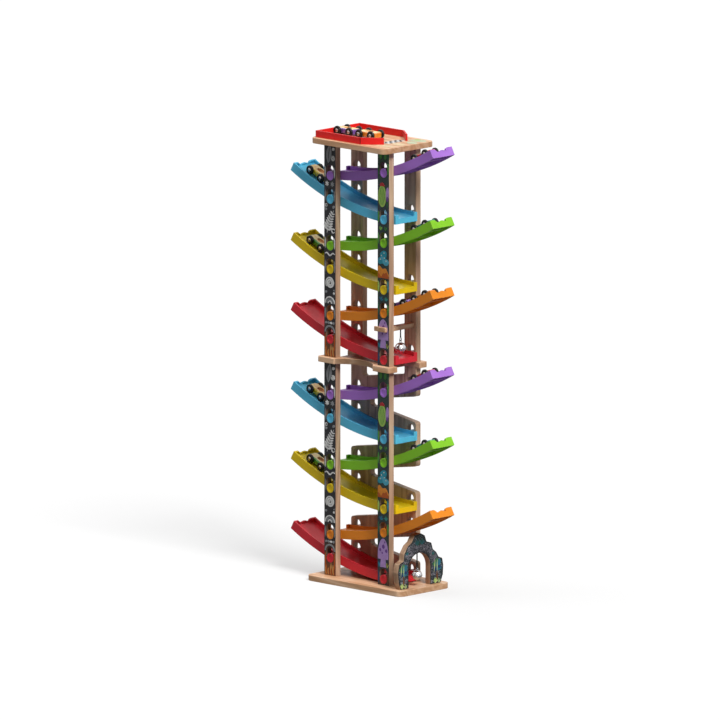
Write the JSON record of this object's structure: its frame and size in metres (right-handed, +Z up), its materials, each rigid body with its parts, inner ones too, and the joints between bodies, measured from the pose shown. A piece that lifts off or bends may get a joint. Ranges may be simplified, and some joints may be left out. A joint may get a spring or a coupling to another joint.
{
  "type": "toy car ramp",
  "caption": "Tall zigzag toy race track: curved coloured plastic ramps between wooden posts, with small cars, a start tray on top, hanging bells and a finish gate.",
  "frame": {"origin": "on the ground, under the middle of the four posts", "axes": "+Z up, +X towards the finish gate, +Y from the printed front posts to the back panel"},
  "size_m": [0.3494, 0.127, 0.8064],
  "materials": {
    "purple_plastic": "gloss moulded plastic, purple",
    "blue_plastic": "gloss moulded plastic, sky blue",
    "green_plastic": "gloss moulded plastic, leaf green",
    "yellow_plastic": "gloss moulded plastic, yellow",
    "orange_plastic": "gloss moulded plastic, orange",
    "red_plastic": "gloss moulded plastic, red",
    "birch_board": "clear-coated plywood, pale",
    "printed_post": "plywood with a dark printed front face",
    "printed_gate": "plywood with a dark printed outer face",
    "bell_steel": "nickel-plated sheet steel",
    "red_paint": "painted wood, gloss red",
    "teal_paint": "painted wood, gloss teal",
    "yellow_paint": "painted wood, gloss yellow",
    "green_paint": "painted wood, gloss green",
    "orange_paint": "painted wood, gloss orange",
    "purple_paint": "painted wood, gloss purple",
    "black_wheel": "black plastic with a pale hub"
  },
  "bodies": {
    "tower": {"base_board": "birch_board", "mid_board": "birch_board", "top_board": "birch_board", "lower_back_panel": "birch_board", "upper_back_posts": "birch_board", "bell_bar": "birch_board", "lower_front_posts": "printed_post", "upper_front_posts": "printed_post", "start_tray": "red_plastic", "finish_gate": "printed_gate", "lower_ramp_red": "red_plastic", "lower_ramp_orange": "orange_plastic", "lower_ramp_yellow": "yellow_plastic", "lower_ramp_green": "green_plastic", "lower_ramp_blue": "blue_plastic", "lower_ramp_purple": "purple_plastic", "upper_ramp_red": "red_plastic", "upper_ramp_orange": "orange_plastic", "upper_ramp_yellow": "yellow_plastic", "upper_ramp_green": "green_plastic", "upper_ramp_blue": "blue_plastic", "upper_ramp_purple": "purple_plastic"},
    "upper_bell": {"upper_bell": "bell_steel"},
    "finish_bell": {"finish_bell": "bell_steel"},
    "lower_red_car": {"lower_red_car_body": "red_paint"},
    "lower_red_car_front_wheels": {"lower_red_car_front_wheels": "black_wheel"},
    "lower_red_car_rear_wheels": {"lower_red_car_rear_wheels": "black_wheel"},
    "lower_teal_car": {"lower_teal_car_body": "teal_paint"},
    "lower_teal_car_front_wheels": {"lower_teal_car_front_wheels": "black_wheel"},
    "lower_teal_car_rear_wheels": {"lower_teal_car_rear_wheels": "black_wheel"},
    "lower_yellow_car": {"lower_yellow_car_body": "yellow_paint"},
    "lower_yellow_car_front_wheels": {"lower_yellow_car_front_wheels": "black_wheel"},
    "lower_yellow_car_rear_wheels": {"lower_yellow_car_rear_wheels": "black_wheel"},
    "lower_green_car": {"lower_green_car_body": "green_paint"},
    "lower_green_car_front_wheels": {"lower_green_car_front_wheels": "black_wheel"},
    "lower_green_car_rear_wheels": {"lower_green_car_rear_wheels": "black_wheel"},
    "upper_red_car": {"upper_red_car_body": "red_paint"},
    "upper_red_car_front_wheels": {"upper_red_car_front_wheels": "black_wheel"},
    "upper_red_car_rear_wheels": {"upper_red_car_rear_wheels": "black_wheel"},
    "upper_teal_car": {"upper_teal_car_body": "teal_paint"},
    "upper_teal_car_front_wheels": {"upper_teal_car_front_wheels": "black_wheel"},
    "upper_teal_car_rear_wheels": {"upper_teal_car_rear_wheels": "black_wheel"},
    "upper_yellow_car": {"upper_yellow_car_body": "yellow_paint"},
    "upper_yellow_car_front_wheels": {"upper_yellow_car_front_wheels": "black_wheel"},
    "upper_yellow_car_rear_wheels": {"upper_yellow_car_rear_wheels": "black_wheel"},
    "upper_green_car": {"upper_green_car_body": "green_paint"},
    "upper_green_car_front_wheels": {"upper_green_car_front_wheels": "black_wheel"},
    "upper_green_car_rear_wheels": {"upper_green_car_rear_wheels": "black_wheel"},
    "upper_purple_car": {"upper_purple_car_body": "purple_paint"},
    "upper_purple_car_front_wheels": {"upper_purple_car_front_wheels": "black_wheel"},
    "upper_purple_car_rear_wheels": {"upper_purple_car_rear_wheels": "black_wheel"},
    "upper_orange_car": {"upper_orange_car_body": "orange_paint"},
    "upper_orange_car_front_wheels": {"upper_orange_car_front_wheels": "black_wheel"},
    "upper_orange_car_rear_wheels": {"upper_orange_car_rear_wheels": "black_wheel"},
    "tray_purple_car": {"tray_purple_car_body": "purple_paint"},
    "tray_purple_car_front_wheels": {"tray_purple_car_front_wheels": "black_wheel"},
    "tray_purple_car_rear_wheels": {"tray_purple_car_rear_wheels": "black_wheel"},
    "tray_orange_car": {"tray_orange_car_body": "orange_paint"},
    "tray_orange_car_front_wheels": {"tray_orange_car_front_wheels": "black_wheel"},
    "tray_orange_car_rear_wheels": {"tray_orange_car_rear_wheels": "black_wheel"}
  },
  "joints": [
    {"name": "upper_bell_swing", "type": "hinge", "parent": "tower", "child": "upper_bell", "pos_m": [0.069, 0, 0.46074], "axis": [0, 1, 0], "range_deg": [-25, 25]},
    {"name": "finish_bell_swing", "type": "hinge", "parent": "tower", "child": "finish_bell", "pos_m": [0.1125, -0.003, 0.0697], "axis": [0, 1, 0], "range_deg": [-25, 25]},
    {"name": "lower_red_car_roll", "type": "hinge", "parent": "tower", "child": "lower_red_car", "pos_m": [-0.0785, 0, 0.84284], "axis": [0, 1, 0], "range_deg": [-1.5, 21.5]},
    {"name": "lower_red_car_front_wheels_spin", "type": "hinge", "parent": "lower_red_car", "child": "lower_red_car_front_wheels", "pos_m": [0.11493, 0, 0.38046], "axis": [0, 1, 0], "range_deg": [-1402, 102]},
    {"name": "lower_red_car_rear_wheels_spin", "type": "hinge", "parent": "lower_red_car", "child": "lower_red_car_rear_wheels", "pos_m": [0.1409, 0, 0.39221], "axis": [0, 1, 0], "range_deg": [-1402, 102]},
    {"name": "lower_teal_car_roll", "type": "hinge", "parent": "tower", "child": "lower_teal_car", "pos_m": [-0.0785, 0, 0.71823], "axis": [0, 1, 0], "range_deg": [-1.5, 21.5]},
    {"name": "lower_teal_car_front_wheels_spin", "type": "hinge", "parent": "lower_teal_car", "child": "lower_teal_car_front_wheels", "pos_m": [0.11493, 0, 0.25587], "axis": [0, 1, 0], "range_deg": [-1402, 102]},
    {"name": "lower_teal_car_rear_wheels_spin", "type": "hinge", "parent": "lower_teal_car", "child": "lower_teal_car_rear_wheels", "pos_m": [0.1409, 0, 0.26761], "axis": [0, 1, 0], "range_deg": [-1402, 102]},
    {"name": "lower_yellow_car_roll", "type": "hinge", "parent": "tower", "child": "lower_yellow_car", "pos_m": [0.0785, 0, 0.78053], "axis": [0, 1, 0], "range_deg": [-21.5, 1.5]},
    {"name": "lower_yellow_car_front_wheels_spin", "type": "hinge", "parent": "lower_yellow_car", "child": "lower_yellow_car_front_wheels", "pos_m": [-0.11493, 0, 0.31816], "axis": [0, 1, 0], "range_deg": [-102, 1402]},
    {"name": "lower_yellow_car_rear_wheels_spin", "type": "hinge", "parent": "lower_yellow_car", "child": "lower_yellow_car_rear_wheels", "pos_m": [-0.1409, 0, 0.32991], "axis": [0, 1, 0], "range_deg": [-102, 1402]},
    {"name": "lower_green_car_roll", "type": "hinge", "parent": "tower", "child": "lower_green_car", "pos_m": [0.0785, 0, 0.65594], "axis": [0, 1, 0], "range_deg": [-21.5, 1.5]},
    {"name": "lower_green_car_front_wheels_spin", "type": "hinge", "parent": "lower_green_car", "child": "lower_green_car_front_wheels", "pos_m": [-0.11493, 0, 0.19356], "axis": [0, 1, 0], "range_deg": [-102, 1402]},
    {"name": "lower_green_car_rear_wheels_spin", "type": "hinge", "parent": "lower_green_car", "child": "lower_green_car_rear_wheels", "pos_m": [-0.1409, 0, 0.20531], "axis": [0, 1, 0], "range_deg": [-102, 1402]},
    {"name": "upper_red_car_roll", "type": "hinge", "parent": "tower", "child": "upper_red_car", "pos_m": [-0.0785, 0, 1.23288], "axis": [0, 1, 0], "range_deg": [-1.5, 21.5]},
    {"name": "upper_red_car_front_wheels_spin", "type": "hinge", "parent": "upper_red_car", "child": "upper_red_car_front_wheels", "pos_m": [0.11493, 0, 0.77051], "axis": [0, 1, 0], "range_deg": [-1402, 102]},
    {"name": "upper_red_car_rear_wheels_spin", "type": "hinge", "parent": "upper_red_car", "child": "upper_red_car_rear_wheels", "pos_m": [0.1409, 0, 0.78225], "axis": [0, 1, 0], "range_deg": [-1402, 102]},
    {"name": "upper_teal_car_roll", "type": "hinge", "parent": "tower", "child": "upper_teal_car", "pos_m": [-0.0785, 0, 1.10828], "axis": [0, 1, 0], "range_deg": [-1.5, 21.5]},
    {"name": "upper_teal_car_front_wheels_spin", "type": "hinge", "parent": "upper_teal_car", "child": "upper_teal_car_front_wheels", "pos_m": [0.11493, 0, 0.64591], "axis": [0, 1, 0], "range_deg": [-1402, 102]},
    {"name": "upper_teal_car_rear_wheels_spin", "type": "hinge", "parent": "upper_teal_car", "child": "upper_teal_car_rear_wheels", "pos_m": [0.1409, 0, 0.65765], "axis": [0, 1, 0], "range_deg": [-1402, 102]},
    {"name": "upper_yellow_car_roll", "type": "hinge", "parent": "tower", "child": "upper_yellow_car", "pos_m": [0.0785, 0, 1.17058], "axis": [0, 1, 0], "range_deg": [-21.5, 1.5]},
    {"name": "upper_yellow_car_front_wheels_spin", "type": "hinge", "parent": "upper_yellow_car", "child": "upper_yellow_car_front_wheels", "pos_m": [-0.11493, 0, 0.70821], "axis": [0, 1, 0], "range_deg": [-102, 1402]},
    {"name": "upper_yellow_car_rear_wheels_spin", "type": "hinge", "parent": "upper_yellow_car", "child": "upper_yellow_car_rear_wheels", "pos_m": [-0.1409, 0, 0.71995], "axis": [0, 1, 0], "range_deg": [-102, 1402]},
    {"name": "upper_green_car_roll", "type": "hinge", "parent": "tower", "child": "upper_green_car", "pos_m": [0.0785, 0, 1.04598], "axis": [0, 1, 0], "range_deg": [-21.5, 1.5]},
    {"name": "upper_green_car_front_wheels_spin", "type": "hinge", "parent": "upper_green_car", "child": "upper_green_car_front_wheels", "pos_m": [-0.11493, 0, 0.58361], "axis": [0, 1, 0], "range_deg": [-102, 1402]},
    {"name": "upper_green_car_rear_wheels_spin", "type": "hinge", "parent": "upper_green_car", "child": "upper_green_car_rear_wheels", "pos_m": [-0.1409, 0, 0.59535], "axis": [0, 1, 0], "range_deg": [-102, 1402]},
    {"name": "upper_purple_car_roll", "type": "hinge", "parent": "tower", "child": "upper_purple_car", "pos_m": [-0.0785, 0, 0.98368], "axis": [0, 1, 0], "range_deg": [-1, 15]},
    {"name": "upper_purple_car_front_wheels_spin", "type": "hinge", "parent": "upper_purple_car", "child": "upper_purple_car_front_wheels", "pos_m": [0.06087, 0, 0.50225], "axis": [0, 1, 0], "range_deg": [-979, 70]},
    {"name": "upper_purple_car_rear_wheels_spin", "type": "hinge", "parent": "upper_purple_car", "child": "upper_purple_car_rear_wheels", "pos_m": [0.08801, 0, 0.51094], "axis": [0, 1, 0], "range_deg": [-979, 70]},
    {"name": "upper_orange_car_roll", "type": "hinge", "parent": "tower", "child": "upper_orange_car", "pos_m": [-0.0785, 0, 0.98368], "axis": [0, 1, 0], "range_deg": [-1, 15]},
    {"name": "upper_orange_car_front_wheels_spin", "type": "hinge", "parent": "upper_orange_car", "child": "upper_orange_car_front_wheels", "pos_m": [0.11493, 0, 0.52131], "axis": [0, 1, 0], "range_deg": [-979, 70]},
    {"name": "upper_orange_car_rear_wheels_spin", "type": "hinge", "parent": "upper_orange_car", "child": "upper_orange_car_rear_wheels", "pos_m": [0.1409, 0, 0.53305], "axis": [0, 1, 0], "range_deg": [-979, 70]},
    {"name": "tray_purple_car_slide", "type": "slide", "parent": "tower", "child": "tray_purple_car", "axis": [1, 0, 0], "range_m": [-0.0005, 0.004]},
    {"name": "tray_purple_car_front_wheels_spin", "type": "hinge", "parent": "tray_purple_car", "child": "tray_purple_car_front_wheels", "pos_m": [-0.0451, 0, 0.79839], "axis": [0, 1, 0], "range_deg": [-9, 34]},
    {"name": "tray_purple_car_rear_wheels_spin", "type": "hinge", "parent": "tray_purple_car", "child": "tray_purple_car_rear_wheels", "pos_m": [-0.0736, 0, 0.79839], "axis": [0, 1, 0], "range_deg": [-9, 34]},
    {"name": "tray_orange_car_slide", "type": "slide", "parent": "tower", "child": "tray_orange_car", "axis": [1, 0, 0], "range_m": [-0.004, 0.045]},
    {"name": "tray_orange_car_front_wheels_spin", "type": "hinge", "parent": "tray_orange_car", "child": "tray_orange_car_front_wheels", "pos_m": [0.0079, 0, 0.79839], "axis": [0, 1, 0], "range_deg": [-34, 327]},
    {"name": "tray_orange_car_rear_wheels_spin", "type": "hinge", "parent": "tray_orange_car", "child": "tray_orange_car_rear_wheels", "pos_m": [-0.0206, 0, 0.79839], "axis": [0, 1, 0], "range_deg": [-34, 327]}
  ],
  "couplings": [
    {"joint": "lower_red_car_front_wheels_spin", "follows": "lower_red_car_roll", "ratio": -63.688},
    {"joint": "lower_red_car_rear_wheels_spin", "follows": "lower_red_car_roll", "ratio": -63.688},
    {"joint": "lower_teal_car_front_wheels_spin", "follows": "lower_teal_car_roll", "ratio": -63.688},
    {"joint": "lower_teal_car_rear_wheels_spin", "follows": "lower_teal_car_roll", "ratio": -63.688},
    {"joint": "lower_yellow_car_front_wheels_spin", "follows": "lower_yellow_car_roll", "ratio": -63.688},
    {"joint": "lower_yellow_car_rear_wheels_spin", "follows": "lower_yellow_car_roll", "ratio": -63.688},
    {"joint": "lower_green_car_front_wheels_spin", "follows": "lower_green_car_roll", "ratio": -63.688},
    {"joint": "lower_green_car_rear_wheels_spin", "follows": "lower_green_car_roll", "ratio": -63.688},
    {"joint": "upper_red_car_front_wheels_spin", "follows": "upper_red_car_roll", "ratio": -63.688},
    {"joint": "upper_red_car_rear_wheels_spin", "follows": "upper_red_car_roll", "ratio": -63.688},
    {"joint": "upper_teal_car_front_wheels_spin", "follows": "upper_teal_car_roll", "ratio": -63.688},
    {"joint": "upper_teal_car_rear_wheels_spin", "follows": "upper_teal_car_roll", "ratio": -63.688},
    {"joint": "upper_yellow_car_front_wheels_spin", "follows": "upper_yellow_car_roll", "ratio": -63.688},
    {"joint": "upper_yellow_car_rear_wheels_spin", "follows": "upper_yellow_car_roll", "ratio": -63.688},
    {"joint": "upper_green_car_front_wheels_spin", "follows": "upper_green_car_roll", "ratio": -63.688},
    {"joint": "upper_green_car_rear_wheels_spin", "follows": "upper_green_car_roll", "ratio": -63.688},
    {"joint": "upper_purple_car_front_wheels_spin", "follows": "upper_purple_car_roll", "ratio": -63.688},
    {"joint": "upper_purple_car_rear_wheels_spin", "follows": "upper_purple_car_roll", "ratio": -63.688},
    {"joint": "upper_orange_car_roll", "follows": "upper_purple_car_roll", "ratio": 1},
    {"joint": "upper_orange_car_front_wheels_spin", "follows": "upper_purple_car_roll", "ratio": -63.688},
    {"joint": "upper_orange_car_rear_wheels_spin", "follows": "upper_purple_car_roll", "ratio": -63.688},
    {"joint": "tray_purple_car_front_wheels_spin", "follows": "tray_purple_car_slide", "rad_per_m": 125},
    {"joint": "tray_purple_car_rear_wheels_spin", "follows": "tray_purple_car_slide", "rad_per_m": 125},
    {"joint": "tray_orange_car_front_wheels_spin", "follows": "tray_orange_car_slide", "rad_per_m": 125},
    {"joint": "tray_orange_car_rear_wheels_spin", "follows": "tray_orange_car_slide", "rad_per_m": 125}
  ]
}
